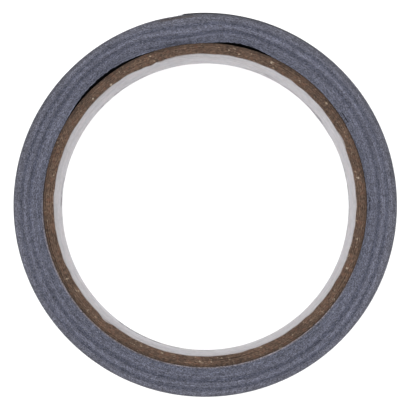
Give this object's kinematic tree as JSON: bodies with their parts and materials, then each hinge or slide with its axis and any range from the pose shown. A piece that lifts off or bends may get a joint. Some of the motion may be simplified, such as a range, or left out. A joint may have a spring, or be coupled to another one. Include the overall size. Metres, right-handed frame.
{
  "type": "duct tape roll",
  "caption": "Roll of cloth-backed grey duct tape wound on a paperboard core, with a free end that peels off the roll.",
  "frame": {"origin": "centre of the lower end face, on the roll's axis", "axes": "+Z along the roll's axis, up from the face it lies on; +X is the direction the winding angle is measured from"},
  "size_m": [0.0969, 0.097, 0.048],
  "materials": {
    "liner_paper": "smooth white paper with a faint print",
    "core_chipboard": "grey-brown recycled chipboard, knife-cut",
    "backing_film": "grey polyethylene film embossed by the cloth below it",
    "scrim_cloth": "open plain-weave gauze",
    "adhesive": "tacky natural-rubber adhesive"
  },
  "bodies": {
    "roll": {"core_liner": "liner_paper", "core_ply_1": "core_chipboard", "core_ply_2": "core_chipboard", "core_ply_3": "core_chipboard", "core_ply_4": "core_chipboard", "core_ply_5": "core_chipboard", "web_adhesive": "adhesive", "web_scrim": "scrim_cloth", "web_film": "backing_film", "outer_wrap_adhesive": "adhesive", "outer_wrap_scrim": "scrim_cloth", "outer_wrap_film": "backing_film"},
    "free_end_1": {"free_end_adhesive_1": "adhesive", "free_end_scrim_1": "scrim_cloth", "free_end_film_1": "backing_film"},
    "free_end_2": {"free_end_adhesive_2": "adhesive", "free_end_scrim_2": "scrim_cloth", "free_end_film_2": "backing_film"},
    "free_end_3": {"free_end_adhesive_3": "adhesive", "free_end_scrim_3": "scrim_cloth", "free_end_film_3": "backing_film"},
    "free_end_4": {"free_end_adhesive_4": "adhesive", "free_end_scrim_4": "scrim_cloth", "free_end_film_4": "backing_film"},
    "free_end_5": {"free_end_adhesive_5": "adhesive", "free_end_scrim_5": "scrim_cloth", "free_end_film_5": "backing_film"},
    "free_end_6": {"free_end_adhesive_6": "adhesive", "free_end_scrim_6": "scrim_cloth", "free_end_film_6": "backing_film"}
  },
  "joints": [
    {"name": "peel_1", "type": "hinge", "parent": "roll", "child": "free_end_1", "pos_m": [0.02785, 0.03984, 0.024], "axis": [0, 0, -1], "range_deg": [0, 60]},
    {"name": "peel_2", "type": "hinge", "parent": "free_end_1", "child": "free_end_2", "pos_m": [0.0228, 0.04293, 0.024], "axis": [0, 0, -1], "range_deg": [0, 8.4]},
    {"name": "peel_3", "type": "hinge", "parent": "free_end_2", "child": "free_end_3", "pos_m": [0.0174, 0.04539, 0.024], "axis": [0, 0, -1], "range_deg": [0, 8.4]},
    {"name": "peel_4", "type": "hinge", "parent": "free_end_3", "child": "free_end_4", "pos_m": [0.01174, 0.04718, 0.024], "axis": [0, 0, -1], "range_deg": [0, 8.4]},
    {"name": "peel_5", "type": "hinge", "parent": "free_end_4", "child": "free_end_5", "pos_m": [0.00591, 0.04826, 0.024], "axis": [0, 0, -1], "range_deg": [0, 8.4]},
    {"name": "peel_6", "type": "hinge", "parent": "free_end_5", "child": "free_end_6", "pos_m": [-0.00001, 0.04862, 0.024], "axis": [0, 0, -1], "range_deg": [0, 8.4]}
  ],
  "couplings": [
    {"joint": "peel_2", "follows": "peel_1", "ratio": 0.14},
    {"joint": "peel_3", "follows": "peel_1", "ratio": 0.14},
    {"joint": "peel_4", "follows": "peel_1", "ratio": 0.14},
    {"joint": "peel_5", "follows": "peel_1", "ratio": 0.14},
    {"joint": "peel_6", "follows": "peel_1", "ratio": 0.14}
  ]
}
